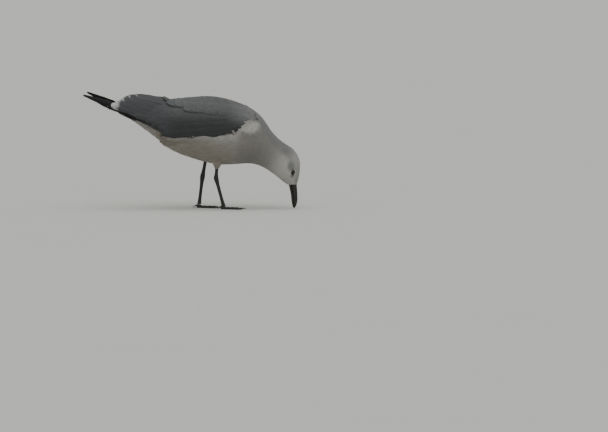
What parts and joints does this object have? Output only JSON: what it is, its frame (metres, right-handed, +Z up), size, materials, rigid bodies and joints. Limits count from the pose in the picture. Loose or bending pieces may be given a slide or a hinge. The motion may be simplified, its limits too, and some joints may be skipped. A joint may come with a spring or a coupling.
{
  "type": "gull",
  "caption": "Life-size still model of a small dark-billed gull in grey and white winter plumage, wings folded, stooping until the bill tip is at the ground.",
  "frame": {"origin": "on the floor under the middle of the bird's bounding box", "axes": "+X the way the bird faces, +Y its left, +Z up"},
  "size_m": [0.3734, 0.104, 0.2011],
  "materials": {
    "plumage_white": "soft matt contour feathers, off-white",
    "plumage_pale_grey": "soft matt contour feathers, pale grey over white",
    "plumage_slate": "smooth slate grey wing feathers with a slight sheen",
    "plumage_black": "stiff black flight feathers with a slight sheen",
    "eye_dark": "wet and mirror smooth",
    "horn_black": "hard black horn, satin",
    "leg_skin": "black scaly skin, dull"
  },
  "bodies": {
    "root": {"trunk": "plumage_white", "neck": "plumage_pale_grey", "head": "plumage_white", "eye_left": "eye_dark", "eye_right": "eye_dark", "bill_upper": "horn_black", "bill_lower": "horn_black", "wing_left": "plumage_slate", "wing_right": "plumage_slate", "primaries_left": "plumage_black", "primaries_right": "plumage_black", "tail": "plumage_white", "thigh_left": "plumage_white", "thigh_right": "plumage_white", "shank_left": "leg_skin", "shank_right": "leg_skin", "foot_left": "leg_skin", "foot_right": "leg_skin", "claw_inner_left": "horn_black", "claw_middle_left": "horn_black", "claw_outer_left": "horn_black", "claw_hind_left": "horn_black", "claw_inner_right": "horn_black", "claw_middle_right": "horn_black", "claw_outer_right": "horn_black", "claw_hind_right": "horn_black"}
  },
  "joints": []
}
